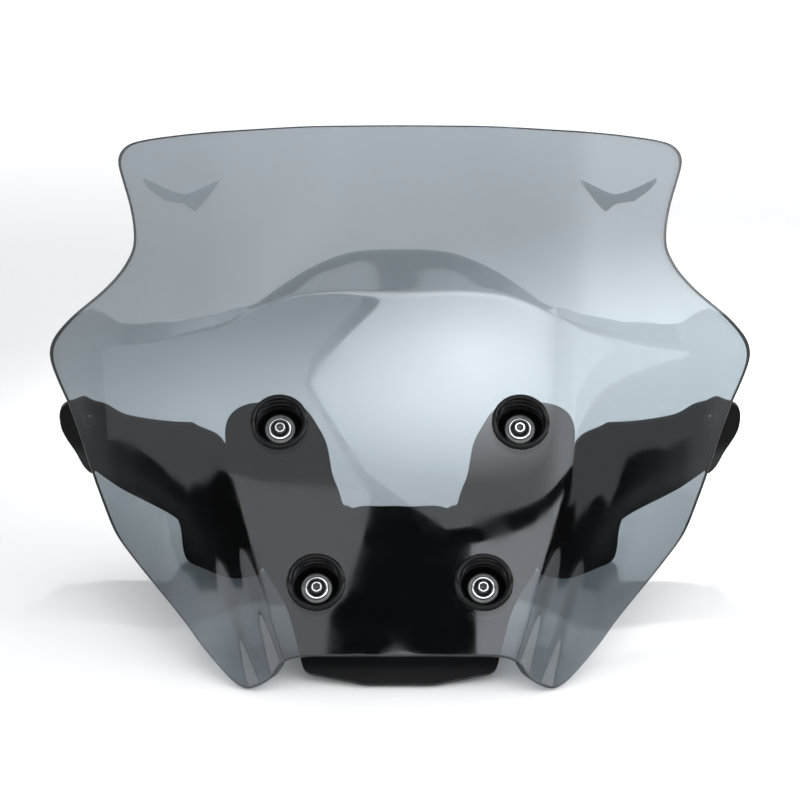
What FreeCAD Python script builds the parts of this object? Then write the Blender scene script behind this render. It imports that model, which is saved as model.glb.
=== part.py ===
import FreeCAD, Part
import math, os

# ---------------------------------------------------------------------------
# Height-adjustable touring windshield screen for a motorcycle.
# Frame: +Z up, the screen's front looks towards -Y, +X to its right-hand side
# as seen from the front.  Origin: centre of the base of the bounding box, on
# the floor the assembly stands on.  All lengths in millimetres.
#
# Most of the assembly is built in a leaned frame (X, W, D):
#   X  across the screen
#   W  up the screen, along the height-adjuster's rails
#   D  out of the flat centre panel's front face, towards the wind
# ---------------------------------------------------------------------------
V = FreeCAD.Vector

# ---- driving dimensions ----------------------------------------------------
LEAN_DEG = 48.0          # lean of the centre panel back from vertical
PIVOT_Z = 20.0           # height of the leaned frame's origin
PIVOT_Y = -121.847       # its position along Y
SHEET_T = 4.0            # thermoformed sheet thickness
FLAT_HALF = 84.0         # half-width of the flat centre panel
SIDE_R2 = 165.0          # wrap of the sides
LIP_DEG = 15.0           # flip of the top lip at the centre
LIP_DEG_SIDE = 11.0      # flip of the top lip towards the corners
LIP_FIRST_DEG = 2.6      # slight first bend below the lip
STEP_H = 16.0            # pressed step at the bottom of the wings
BOLT_UP = (69.8, 145.4)  # upper cups (X, W)
BOLT_LO = (47.4, 48.8)   # lower cups (X, W)
CUP_HOLE_R = 14.9        # hole in the sheet for a cup
CUP_FLANGE_R = 16.75
CUP_MOUTH_R = 13.9
CUP_PROUD = 2.2          # cup rim above the sheet
CUP_FLOOR = -13.4        # D of the cup's inner floor
CARRIER_D = -16.0        # D of the carrier's front face
CARRIER_T = 4.0
M6_R = 3.0
RAIL_X, RAIL_D, RAIL_R = 30.0, -26.0, 4.0
RAIL_W0, RAIL_W1 = 9.0, 100.0
RAIL_FIT = 0.05          # radial running fit of shoe on rail
TRAVEL = 42.0            # height adjustment along W
TRAY_D, TRAY_T = -32.0, 4.0
FLANGE_Y, FLANGE_T = 136.0, 5.0     # rear mounting flange, from the pivot
FLANGE_HALF, FLANGE_Z0, FLANGE_Z1 = 72.0, 8.0, 50.0
MOUNT_X, MOUNT_Z0, MOUNT_Z1 = 34.0, 16.0, 34.0
MOUNT_HOLE_R = 3.3
WING_T = 4.0
WING_Y = 141.0           # wing's front face at the leg, from the pivot
WING_RIDGE = 14.0        # height of the wing's roof fold
FOOT_X, FOOT_Y = 106.0, 154.0
TIP_HOLE = (186.0, 94.5) # (X, Z) of the hole near each arm's tip
LEVER_PIVOT = (14.0, 44.0)

A = math.radians(LEAN_DEG)
WV = V(0, math.sin(A), math.cos(A))
NV = V(0, -math.cos(A), math.sin(A))
ORG = V(0, PIVOT_Y, PIVOT_Z)
LEANED = FreeCAD.Placement(ORG, FreeCAD.Rotation(V(1, 0, 0), 90.0 - LEAN_DEG))


def lean(shape):
    """Carry a shape built in the leaned frame into the part's frame."""
    s = shape.copy()
    s.Placement = LEANED.multiply(s.Placement)
    return s


# ---- smooth helpers --------------------------------------------------------
def sst(t):
    t = max(0.0, min(1.0, t))
    return t * t * t * (t * (6 * t - 15) + 10)


def softplus(x, k):
    if x > 6 * k:
        return x
    if x < -6 * k:
        return 0.0
    return k * math.log1p(math.exp(x / k))


def crease_lines(a):
    """W of the lip's first, slight bend and of its main bend, at |X| = a."""
    lo = ((0.0, 226.0), (30.0, 227.5), (60.0, 226.0), (80.0, 219.0), (95.0, 209.5), (111.0, 202.5), (151.0, 199.5), (183.0, 204.5), (230.0, 212.0))
    up = ((0.0, 258.0), (30.0, 256.5), (50.0, 249.5), (68.0, 236.5), (84.0, 223.5), (98.0, 215.5), (136.0, 213.5), (192.0, 223.0), (230.0, 230.0))

    def at(tab):
        for (x0, y0), (x1, y1) in zip(tab[:-1], tab[1:]):
            if a <= x1:
                t = (a - x0) / (x1 - x0)
                return y0 + (y1 - y0) * t * t * (3 - 2 * t)
        return tab[-1][1]
    return at(lo), at(up)


def screen_d(X, W):
    """Front face of the screen, as a height above the centre panel."""
    a = abs(X)
    side = -softplus(a - FLAT_HALF, 7.0) ** 2 / (2 * SIDE_R2)
    ang = LIP_DEG + (LIP_DEG_SIDE - LIP_DEG) * sst((a - 34) / 78.0)
    w0, w1 = crease_lines(a)
    t0 = math.tan(math.radians(LIP_FIRST_DEG))
    lip = t0 * softplus(W - w0, 3.0) + (math.tan(math.radians(ang)) - t0) * softplus(W - w1, 5.0)
    h = STEP_H * sst((140.0 - W) / 150.0 * 0.9 + 0.05) if W < 140 else 0.0
    xc = 64.0 + W * 0.300
    s = 0.62 * sst((a - xc) / 11.0) + 0.38 * sst((a - xc - 15) / 11.0)
    return side + lip - h * s


# ---- general builders ------------------------------------------------------
def bspline_sheet(grid):
    nu, nv = len(grid), len(grid[0])

    def knots(n):
        inner = n - 3
        k = [float(i) for i in range(inner + 1)]
        m = [4] + [1] * (inner - 1) + [4]
        return k, m
    ku, mu = knots(nu)
    kv, mv = knots(nv)
    s = Part.BSplineSurface()
    s.buildFromPolesMultsKnots(grid, mu, mv, ku, kv, False, False, 3, 3)
    return s


def solid_between(top, bottom):
    """Closed solid between two B-spline sheets with the same parameters."""
    faces = [top.toShape(), bottom.toShape()]
    u0, u1, v0, v1 = top.bounds()
    for iso, a in (("u", u0), ("u", u1), ("v", v0), ("v", v1)):
        if iso == "u":
            e1 = top.uIso(a).toShape()
            e2 = bottom.uIso(a).toShape()
        else:
            e1 = top.vIso(a).toShape()
            e2 = bottom.vIso(a).toShape()
        faces.append(Part.makeRuledSurface(e1, e2))
    sh = Part.makeShell(faces)
    sh.sewShape(1e-4)
    sol = Part.makeSolid(sh)
    sol.fix(1e-4, 1e-4, 1e-3)
    if sol.Volume < 0:
        sol.reverse()
    return sol


def spline_wire(pts, corners=()):
    """Closed wire through the points; corners are indices kept sharp."""
    n = len(pts)
    if not corners:
        c = Part.BSplineCurve()
        c.interpolate(Points=pts, PeriodicFlag=True)
        u0, u1 = c.FirstParameter, c.LastParameter
        k = 8
        us = [u0 + (u1 - u0) * i / k for i in range(k + 1)]
        return Part.Wire([Part.Edge(c, us[i], us[i + 1]) for i in range(k)])
    cs = sorted(corners)
    edges = []
    for i, a in enumerate(cs):
        b = cs[(i + 1) % len(cs)]
        run = []
        j = a
        while True:
            run.append(pts[j % n])
            if j % n == b and len(run) > 1:
                break
            j += 1
        if len(run) == 2:
            edges.append(Part.LineSegment(run[0], run[1]).toShape())
        else:
            c = Part.BSplineCurve()
            c.interpolate(Points=run)
            edges.append(c.toShape())
    return Part.Wire(edges)


def prism(wire, vec):
    return Part.Face(wire).extrude(vec)


def box(x0, x1, y0, y1, z0, z1):
    return Part.makeBox(x1 - x0, y1 - y0, z1 - z0, V(x0, y0, z0))


def cyl(r, p0, p1):
    d = p1 - p0
    return Part.makeCylinder(r, d.Length, p0, d)


def ring(r0, r1, p0, p1):
    return cyl(r1, p0, p1).cut(cyl(r0, p0, p1))


def revolve(profile, centre, axis=V(0, 0, 1)):
    """Revolve an (r, d) profile about an axis through the centre.
    A profile item is a point, or (mid, end) for a three-point arc."""
    pts, edges = [], []
    last = None
    first = None
    for it in profile:
        if isinstance(it[0], tuple):
            mid, end = it
            edges.append(Part.Arc(V(last[0], 0, last[1]), V(mid[0], 0, mid[1]),
                                  V(end[0], 0, end[1])).toShape())
            last = end
        else:
            if last is not None:
                edges.append(Part.LineSegment(V(last[0], 0, last[1]), V(it[0], 0, it[1])).toShape())
            else:
                first = it
            last = it
    if (last[0] - first[0]) ** 2 + (last[1] - first[1]) ** 2 > 1e-12:
        edges.append(Part.LineSegment(V(last[0], 0, last[1]), V(first[0], 0, first[1])).toShape())
    f = Part.Face(Part.Wire(edges))
    s = f.revolve(V(0, 0, 0), V(0, 0, 1), 360)
    if isinstance(s, Part.Shape) and s.ShapeType != "Solid":
        s = Part.makeSolid(s)
    rot = FreeCAD.Rotation(V(0, 0, 1), axis)
    s.Placement = FreeCAD.Placement(centre, rot)
    return s


def hexagon(af, centre, axis, depth):
    """Hexagonal pocket tool, across flats af, from the centre along the axis."""
    r = af / math.sqrt(3.0)
    pts = [V(r * math.cos(math.radians(60 * i)), r * math.sin(math.radians(60 * i)), 0) for i in range(7)]
    s = Part.Face(Part.makePolygon(pts)).extrude(V(0, 0, depth))
    s.Placement = FreeCAD.Placement(centre, FreeCAD.Rotation(V(0, 0, 1), axis))
    return s


def fuse(shapes):
    s = shapes[0].multiFuse(shapes[1:]) if len(shapes) > 1 else shapes[0]
    return s.removeSplitter()


def mirror_x(s):
    return s.mirror(V(0, 0, 0), V(1, 0, 0))


NODES = {}


def put(name, shapes):
    shapes = shapes if isinstance(shapes, list) else [shapes]
    sol = []
    for s in shapes:
        sol += s.Solids
    if not sol:
        raise RuntimeError("no solid in " + name)
    out = sol[0] if len(sol) == 1 else Part.makeCompound(sol)
    NODES[name] = out


# ---- 1. windscreen ---------------------------------------------------------
# right-hand half of the outline, (X, W), from the top centre down
SCREEN_HALF = [
    (0.0, 326.5), (29.8, 326.2), (59.6, 325.0), (89.3, 323.6), (119.3, 322.9), (145.0, 323.3),
    (158.0, 323.6), (164.5, 322.7), (168.4, 320.0), (170.2, 315.8), (169.8, 310.5), (168.3, 305.0),
    (166.3, 298.5), (164.1, 291.5), (162.1, 284.1), (160.5, 276.5), (159.6, 269.6), (159.4, 263.8),
    (160.2, 258.6), (162.4, 253.8), (166.3, 248.3), (171.9, 242.9), (179.8, 237.3), (189.3, 232.2),
    (198.3, 227.4), (205.3, 222.4), (209.8, 217.8), (212.0, 213.2), (212.4, 208.3), (211.0, 201.6),
    (207.6, 192.6), (203.7, 183.6), (199.3, 174.0), (194.6, 162.5), (190.0, 150.4), (185.8, 138.6),
    (181.8, 127.3), (178.2, 117.4), (175.0, 109.2), (172.0, 101.6), (168.9, 94.0), (165.3, 86.4),
    (160.5, 78.8), (154.9, 71.2), (149.1, 63.7), (143.2, 56.3), (137.2, 48.9), (131.2, 41.6),
    (125.4, 34.3), (120.0, 27.1), (114.9, 20.0), (109.4, 12.9), (103.2, 5.6), (97.6, -0.6),
    (93.2, -4.6), (89.0, -7.2), (84.6, -8.4), (79.9, -7.9), (75.2, -5.8), (70.9, -2.2), (66.6, 1.7),
    (62.0, 4.4), (56.6, 5.6), (50.0, 5.8), (28.0, 5.8), (0.0, 5.8)]
DX, DW = 4.0, 4.5
NX = int(round(2 * 224 / DX)) + 1
NW = int(round((344 + 20) / DW)) + 1
top, bot = [], []
for i in range(NX):
    X = -224.0 + i * DX
    rt, rb = [], []
    for j in range(NW):
        W = -20.0 + j * DW
        d = screen_d(X, W)
        gx = (screen_d(X + 0.5, W) - screen_d(X - 0.5, W))
        gw = (screen_d(X, W + 0.5) - screen_d(X, W - 0.5))
        n = V(-gx, -gw, 1.0)
        n.normalize()
        p = V(X, W, d)
        rt.append(p)
        rb.append(p - n * SHEET_T)
    top.append(rt)
    bot.append(rb)
sheet = solid_between(bspline_sheet(top), bspline_sheet(bot))
half = [V(x, w, -110) for x, w in SCREEN_HALF]
left = [V(-p.x, p.y, p.z) for p in reversed(half[1:-1])]
outline = prism(spline_wire(half + left), V(0, 0, 180))
screen = sheet.common(outline)
cups = [(sx * b[0], b[1]) for b in (BOLT_UP, BOLT_LO) for sx in (-1, 1)]
for x, w in cups:
    screen = screen.cut(cyl(CUP_HOLE_R, V(x, w, -12), V(x, w, 8)))
put("windscreen", lean(screen))

# ---- 2. rubber cups, washers, screws, sleeves, inserts ---------------------
g, wa, sc, sl, ins = [], [], [], [], []
for x, w in cups:
    c = V(x, w, 0)
    g.append(lean(revolve([
        (CUP_MOUTH_R - 1.5, CUP_FLOOR), (CUP_MOUTH_R - 0.8, -1.5), (CUP_MOUTH_R - 0.1, CUP_PROUD - 0.9),
        ((CUP_MOUTH_R + 0.25, CUP_PROUD - 0.2), (CUP_MOUTH_R + 0.95, CUP_PROUD)),
        (CUP_FLANGE_R - 1.0, CUP_PROUD), ((CUP_FLANGE_R - 0.25, CUP_PROUD - 0.3), (CUP_FLANGE_R, CUP_PROUD - 1.0)),
        (CUP_FLANGE_R, 0.1), (CUP_HOLE_R - 0.2, 0.1), (CUP_HOLE_R - 0.2, -4.1), (16.4, -4.1), (16.4, -5.4),
        (15.6, -6.4), (14.6, -6.8), (14.4, CARRIER_D + 0.6), (13.8, CARRIER_D), (4.6, CARRIER_D), (4.6, CUP_FLOOR)], c)))
    wa.append(lean(revolve([(3.2, CUP_FLOOR), (9.0, CUP_FLOOR), (9.0, CUP_FLOOR + 1.3), (8.7, CUP_FLOOR + 1.6),
                            (3.2, CUP_FLOOR + 1.6)], c)))
    h = CUP_FLOOR + 1.6
    screw = revolve([(0, h - 15.6), (M6_R - 0.5, h - 15.6), (M6_R, h - 15.1), (M6_R, h), (6.7, h), (6.8, h + 0.2), (6.8, h + 0.9),
                     (6.5, h + 1.2), (5.25, h + 1.2), ((4.7, h + 2.4), (3.0, h + 3.3)), (0, h + 3.3)], c)
    screw = screw.cut(hexagon(4.0, V(x, w, h + 3.4), V(0, 0, -1), 2.3))
    sc.append(lean(screw))
    sl.append(lean(ring(3.2, 4.5, V(x, w, CARRIER_D), V(x, w, CUP_FLOOR))))
    ins.append(lean(ring(M6_R, 4.5, V(x, w, CARRIER_D - 11.4), V(x, w, CARRIER_D))))
put("grommet_cups", g)
put("cup_washers", wa)
put("screen_screws", sc)
put("spacer_sleeves", sl)
put("threaded_inserts", ins)

# ---- 3. carrier plate ------------------------------------------------------
CARRIER_HALF = [
    (0.0, 99.6), (12.0, 99.5), (24.5, 99.0), (29.4, 97.9), (32.4, 100.0), (34.6, 106.5), (38.4, 116.5), (40.6, 127.0),
    (42.2, 135.8), (45.0, 143.4), (48.8, 150.0), (52.4, 156.0), (58.0, 161.2), (66.0, 163.8), (77.0, 164.0),
    (88.0, 162.9), (95.0, 160.0), (99.6, 155.4), (101.8, 149.0), (102.0, 141.0), (99.6, 130.8),
    (95.6, 115.6), (90.8, 97.8), (85.6, 80.4), (80.8, 67.8), (76.4, 59.4), (70.8, 50.6), (65.8, 41.8),
    (61.8, 31.0), (58.9, 20.0), (56.4, 10.0), (55.1, 5.2), (53.6, 2.2), (50.8, 0.4), (45.0, -0.9), (38.5, -2.2), (31.0, -3.5), (25.8, -4.5),
    (22.0, -5.4), (18.0, -5.8), (9.0, -5.8), (0.0, -5.8)]
ch = [V(x, w, 0) for x, w in CARRIER_HALF]
cl = [V(-p.x, p.y, p.z) for p in reversed(ch[1:-1])]
cw = spline_wire(ch + cl)
cw.translate(V(0, 0, CARRIER_D - CARRIER_T))
cf = Part.Face(cw)
plate = cf.extrude(V(0, 0, CARRIER_T))
parts = [plate]


def inset_wire(pts, dist, z, n=150):
    """Closed spline parallel to the one through pts, moved inwards."""
    c = Part.BSplineCurve()
    c.interpolate(Points=pts, PeriodicFlag=True)
    u0, u1 = c.FirstParameter, c.LastParameter
    out = []
    area = sum(a.x * b.y - b.x * a.y for a, b in zip(pts, pts[1:] + pts[:1]))
    sg = 1.0 if area > 0 else -1.0
    for i in range(n):
        u = u0 + (u1 - u0) * i / n
        p, t = c.value(u), c.tangent(u)[0]
        out.append(V(p.x - sg * t.y * dist, p.y + sg * t.x * dist, z))
    return spline_wire(out)


zr = CARRIER_D - CARRIER_T - 6.0
rib = Part.Face(inset_wire(ch + cl, 0.9, zr)).extrude(V(0, 0, 7.5)).cut(
    Part.Face(inset_wire(ch + cl, 3.3, zr - 1)).extrude(V(0, 0, 12.0)))
rib = rib.cut(box(-42.5, 42.5, -40, 200, -60, 0))
rib = rib.cut(box(-75, 75, -40, 45, -60, 0))
parts += rib.Solids
print("carrier ribs", len(rib.Solids), rib.isValid())
for x, w in cups:
    parts.append(cyl(7.5, V(x, w, CARRIER_D - 11.4), V(x, w, CARRIER_D - 1)))
    parts.append(ring(17.0, 18.2, V(x, w, CARRIER_D - 1), V(x, w, -8.5)))
# stiffening ribs from each arm's boss down to the crossbar
for sx in (-1, 1):
    p0 = V(sx * BOLT_UP[0], BOLT_UP[1], 0)
    p1 = V(sx * 58.0, 96.0, 0)
    d = p1 - p0
    n = V(-d.y, d.x, 0)
    n.normalize()
    q = [p0 + n * 1.25, p1 + n * 1.25, p1 - n * 1.25, p0 - n * 1.25]
    q = [V(p.x, p.y, CARRIER_D - CARRIER_T - 5.0) for p in q]
    parts.append(Part.Face(Part.makePolygon(q + [q[0]])).extrude(V(0, 0, 6.0)))
# boss for the lever's pin and the spring's anchor lug
px, pw = LEVER_PIVOT
parts.append(cyl(4.2, V(px, pw, CARRIER_D - 8.1), V(px, pw, CARRIER_D - 1)))
parts.append(box(-6.0, -2.5, 52.0, 58.0, CARRIER_D - 8.6, CARRIER_D - 1))
carrier = fuse(parts)
for x, w in cups:
    carrier = carrier.cut(cyl(4.5, V(x, w, CARRIER_D - 12), V(x, w, CARRIER_D + 0.5)))
carrier = carrier.cut(cyl(2.0, V(px, pw, CARRIER_D - 9), V(px, pw, CARRIER_D - 1.5)))
SHOE_SCREWS = [(sx * (RAIL_X + dx), w) for sx in (-1, 1) for dx in (-10.5, 10.5) for w in (20.0, 36.0)]
for x, w in SHOE_SCREWS:
    carrier = carrier.cut(cyl(2.0, V(x, w, CARRIER_D - 5), V(x, w, CARRIER_D - 1.4)))
carrier = lean(carrier)
carrier = carrier.cut(box(-150, 150, -300, 300, -60, 0.35))
put("carrier_plate", carrier)

# ---- 4. height adjuster: shoes, rails, buffers -----------------------------
for sx, nm, w1 in ((-1, "left", 52.5), (1, "right", 40.5)):
    x = sx * RAIL_X
    b = box(x - 6.5, x + 6.5, 16.5, w1, RAIL_D - 5.4, CARRIER_D - CARRIER_T)
    ear = box(x - 14, x + 14, 16.5, 40.5, CARRIER_D - CARRIER_T - 4.0, CARRIER_D - CARRIER_T)
    s = fuse([b, ear])
    try:
        es = [e for e in s.Edges if len(e.Vertexes) == 2 and abs((e.Vertexes[0].Point - e.Vertexes[1].Point).z) < 1e-6
              and abs(e.Vertexes[0].Point.z - (RAIL_D - 5.4)) < 1e-6]
        s = s.makeFillet(1.2, es)
    except Exception as ex:
        print("shoe fillet skipped", ex)
    s = s.cut(cyl(RAIL_R + RAIL_FIT, V(x, 10, RAIL_D), V(x, 60, RAIL_D)))
    for hx, w in SHOE_SCREWS:
        s = s.cut(cyl(2.2, V(hx, w, -26), V(hx, w, -18)))
    # room for the lever's spring beside the right-hand shoe
    s = s.cut(cyl(6.5, V(LEVER_PIVOT[0], LEVER_PIVOT[1], -40), V(LEVER_PIVOT[0], LEVER_PIVOT[1], -10)))
    put("slide_shoe_" + nm, lean(s))
    rail = cyl(RAIL_R, V(x, RAIL_W0, RAIL_D), V(x, RAIL_W1, RAIL_D))
    put("guide_rail_" + nm, lean(rail))
ss = []
for x, w in SHOE_SCREWS:
    h = CARRIER_D - CARRIER_T - 4.0
    s = revolve([(0, CARRIER_D - 1.6), (2.0, CARRIER_D - 1.6), (2.0, h), (3.4, h), (3.4, h - 0.5),
                 ((2.7, h - 1.6), (1.4, h - 2.2)), (0, h - 2.2)], V(x, w, 0))
    s = s.cut(hexagon(2.5, V(x, w, h - 2.3), V(0, 0, 1), 1.5))
    ss.append(lean(s))
put("shoe_screws", ss)
bf = []
for sx in (-1, 1):
    x = sx * RAIL_X
    bf.append(lean(ring(RAIL_R, 5.6, V(x, 14.0, RAIL_D), V(x, 16.0, RAIL_D))))
    bf.append(lean(ring(RAIL_R, 5.4, V(x, 95.0 if sx < 0 else 96.5, RAIL_D), V(x, 97.8, RAIL_D))))
put("stop_buffers", bf)

# ---- 5. release lever, pad, pin, spring ------------------------------------
LD0, LD1 = -28.5, -24.5
hub = cyl(6.0, V(px, pw, LD0), V(px, pw, LD1))
a0, a1 = V(px, pw, 0), V(0.0, 98.0, 0)
d = a1 - a0
n = V(-d.y, d.x, 0)
n.normalize()
q = [a0 + n * 5.0, a1 + n * 3.6, a1 - n * 3.6, a0 - n * 5.0]
q = [V(p.x, p.y, LD0) for p in q]
arm = Part.Face(Part.makePolygon(q + [q[0]])).extrude(V(0, 0, LD1 - LD0))
nose = box(px, 22.6, 46.0, 53.0, LD0, LD1)
tab = box(-6.5, 6.5, 97.0, 101.0, -48.0, LD1)
grip = cyl(3.4, V(-9.5, 99.0, -48.0), V(9.5, 99.0, -48.0))
lever = fuse([hub, arm, nose, tab, grip])
for k in range(-4, 5):
    lever = lever.cut(Part.makeTorus(3.9, 0.75, V(k * 2.0, 99.0, -48.0), V(1, 0, 0)))
lever = lever.cut(cyl(2.06, V(px, pw, LD0 - 1), V(px, pw, LD1 + 1)))
put("release_lever", lean(lever))
pad = box(22.6, 25.6, 46.0, 53.0, LD0 - 0.5, LD1 + 0.5)
put("brake_pad", lean(pad))
pin = revolve([(0, CARRIER_D - 1.6), (2.0, CARRIER_D - 1.6), (2.0, LD0 - 0.35), (3.6, LD0 - 0.35), (3.6, LD0 - 1.2),
               (2.6, LD0 - 1.8), (0, LD0 - 1.8)], V(px, pw, 0))
put("lever_pin", lean(pin))
# torsion spring round the pin's boss: three turns and two legs
SR, SWR = 5.3, 0.4
helix = Part.makeHelix(0.95, 2.85, SR)
prof = Part.Wire(Part.makeCircle(SWR, V(SR, 0, 0), V(0, 1, 0.03)))
coil = Part.Wire(helix.Edges).makePipeShell([prof], True, True)
coil = Part.makeSolid(coil) if coil.ShapeType != "Solid" else coil
coil.Placement = FreeCAD.Placement(V(px, pw, CARRIER_D - CARRIER_T - 3.65), FreeCAD.Rotation(V(0, 0, 1), 180))
leg = cyl(SWR * 1.05, V(px - SR, pw - 0.3, CARRIER_D - CARRIER_T - 3.65), V(px - SR - 6.6, pw + 10.0, CARRIER_D - CARRIER_T - 3.65))
put("lever_spring", [lean(fuse([coil, leg]))])

# ---- 6. base frame ---------------------------------------------------------
tray = box(-46, 46, -2, 100.4, TRAY_D - TRAY_T, TRAY_D)
tray = tray.cut(box(-21.5, 21.5, 90, 120, -60, 0))
tray = tray.cut(box(-12, 12, 32, 70, -60, 0))
bosses = []
for sx in (-1, 1):
    x = sx * RAIL_X
    for w0, w1 in ((6.0, 14.0), (97.8, 100.2)):
        bosses.append(box(x - 8, x + 8, w0, w1, TRAY_D - 1, RAIL_D + 4.3))
    bosses.append(box(x + sx * 10 - 1.5, x + sx * 10 + 1.5, 14, 98, TRAY_D - 1, TRAY_D + 1.2))
tray = fuse([tray] + bosses)
for sx in (-1, 1):
    tray = tray.cut(cyl(RAIL_R, V(sx * RAIL_X, RAIL_W0, RAIL_D), V(sx * RAIL_X, RAIL_W1, RAIL_D)))
tray = lean(tray)
Y0 = PIVOT_Y
gus = []
for sx in (-1, 1):
    x0 = sx * 44.0 if sx < 0 else 40.0
    P = [(30.5, 0.4), (60, 0.0), (FLANGE_Y + 1, 0.0), (FLANGE_Y + 1, 50.0), (101.0, 61.5), (96.8, 61.5)]
    H = [(58, 10.0), (FLANGE_Y - 12, 10.0), (FLANGE_Y - 12, 42.5), (100.0, 51.5)]
    f = Part.Face(Part.makePolygon([V(x0, Y0 + y, z) for y, z in P + [P[0]]]))
    hpoly = Part.Face(Part.makePolygon([V(x0 - 1, Y0 + y, z) for y, z in H + [H[0]]]))
    gus.append(f.extrude(V(4, 0, 0)).cut(hpoly.extrude(V(6, 0, 0))))
flange = box(-FLANGE_HALF, FLANGE_HALF, Y0 + FLANGE_Y, Y0 + FLANGE_Y + FLANGE_T, FLANGE_Z0, FLANGE_Z1)
flange = flange.cut(box(-40, 40, Y0 + FLANGE_Y - 1, Y0 + FLANGE_Y + FLANGE_T + 1, 41.0, 60.0))
sill = box(-44, 44, Y0 + FLANGE_Y - 6, Y0 + FLANGE_Y + FLANGE_T, 0.0, FLANGE_Z0 + 1)
tie = cyl(4.0, V(-42, Y0 + 84.0, 5.0), V(42, Y0 + 84.0, 5.0))
fb = []
for sx in (-1, 1):
    for z in (MOUNT_Z0, MOUNT_Z1):
        fb.append(cyl(7.0, V(sx * MOUNT_X, Y0 + FLANGE_Y, z), V(sx * MOUNT_X, Y0 + FLANGE_Y + FLANGE_T + 5, z)))
base = fuse([tray] + gus + [flange, sill, tie] + fb)
base = base.cut(box(-200, 200, -400, 400, -80, 0.0))
WING_SCREWS = [(sx * 60.0, z) for sx in (-1, 1) for z in (18.0, 40.0)]
for sx in (-1, 1):
    for z in (MOUNT_Z0, MOUNT_Z1):
        base = base.cut(cyl(5.0, V(sx * MOUNT_X, Y0 + FLANGE_Y - 1, z), V(sx * MOUNT_X, Y0 + FLANGE_Y + 14, z)))
for x, z in WING_SCREWS:
    base = base.cut(cyl(3.3, V(x, Y0 + FLANGE_Y - 2, z), V(x, Y0 + FLANGE_Y + 12, z)))
put("base_frame", base)
mb = []
for sx in (-1, 1):
    for z in (MOUNT_Z0, MOUNT_Z1):
        mb.append(ring(MOUNT_HOLE_R, 5.0, V(sx * MOUNT_X, Y0 + FLANGE_Y, z), V(sx * MOUNT_X, Y0 + FLANGE_Y + FLANGE_T + 5, z)))
put("mount_bushes", mb)

# ---- 7. side wings ---------------------------------------------------------
# (X, Z) outline of the right-hand wing; the tongue at X < 82 bolts to the flange
WING = [
    (46.0, 12.0), (46.0, 48.0), (72.0, 50.0), (88.0, 62.0), (98.0, 76.0), (105.1, 84.5),
    (114.8, 92.2), (118.6, 93.6), (123.7, 96.4), (132.2, 95.6), (138.5, 95.4), (159.5, 96.4), (167.6, 98.0), (177.7, 102.4),
    (183.8, 103.2), (189.8, 105.0), (194.5, 103.0), (199.6, 101.2), (203.4, 98.2), (204.4, 93.2), (203.0, 86.0),
    (200.0, 80.2), (196.0, 72.6), (192.9, 62.4), (190.4, 57.0), (187.6, 54.6), (184.6, 57.6), (177.0, 51.6), (169.7, 46.9),
    (162.1, 43.4), (147.0, 37.4), (134.6, 32.6), (133.2, 27.0), (132.6, 15.0), (131.4, 5.5), (129.4, 2.0), (125.0, 0.0), (86.0, 0.0), (83.0, 4.0), (76.0, 11.0)]
WING_CORNERS = (0, 1, 2, 5, 8, 20, 26, 31, 34, 36, 37, 39)
CREASE = [(97.7, -6.0), (104.0, 10.0), (112.0, 30.0), (122.5, 49.5), (136.0, 61.0), (152.0, 68.5), (184.0, 77.6), (212.0, 83.0)]


def crease_dist(X, Z):
    best, side = 1e9, 1.0
    for (ax, az), (bx, bz) in zip(CREASE[:-1], CREASE[1:]):
        dx, dz = bx - ax, bz - az
        t = max(0.0, min(1.0, ((X - ax) * dx + (Z - az) * dz) / (dx * dx + dz * dz)))
        qx, qz = X - ax - t * dx, Z - az - t * dz
        dd = math.hypot(qx, qz)
        if dd < best:
            best = dd
            side = 1.0 if dx * qz - dz * qx > 0 else -1.0
    return best * side


def wing_y(X, Z):
    """Front face of the wing, measured back from the pivot."""
    s = crease_dist(X, Z)
    wid = 26.0 if s > 0 else 22.0
    t = math.sqrt(s * s + 9.0) - 3.0
    roof = max(0.0, 1.0 - t / wid)
    roof = roof * roof * (3 - 2 * roof) * 0.35 + roof * 0.65
    h = WING_RIDGE - 4.0 * sst((X - 120.0) / 60.0)
    return WING_Y + 0.30 * softplus(X - 118.0, 12.0) - h * roof


GX, GZ = 4.0, 4.0
nx, nz = 47, 33
wt, wb = [], []
for i in range(nx):
    X = 34.0 + i * GX
    rt, rb = [], []
    for j in range(nz):
        Z = -14.0 + j * GZ
        y = wing_y(X, Z)
        if X < 80:
            y = WING_Y
        rt.append(V(X, Y0 + y, Z))
        rb.append(V(X, Y0 + y + WING_T, Z))
    wt.append(rt)
    wb.append(rb)
wsheet = solid_between(bspline_sheet(wt), bspline_sheet(wb))
wpts = [V(x, Y0 + 90, z) for x, z in WING]
wprism = prism(spline_wire(wpts, WING_CORNERS), V(0, 110, 0))
wing = wsheet.common(wprism)
# foot pad behind the leg, with an M6 hole
foot = box(88.0, 124.0, Y0 + 130.0, Y0 + 163.0, 0.0, 4.0)
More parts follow.
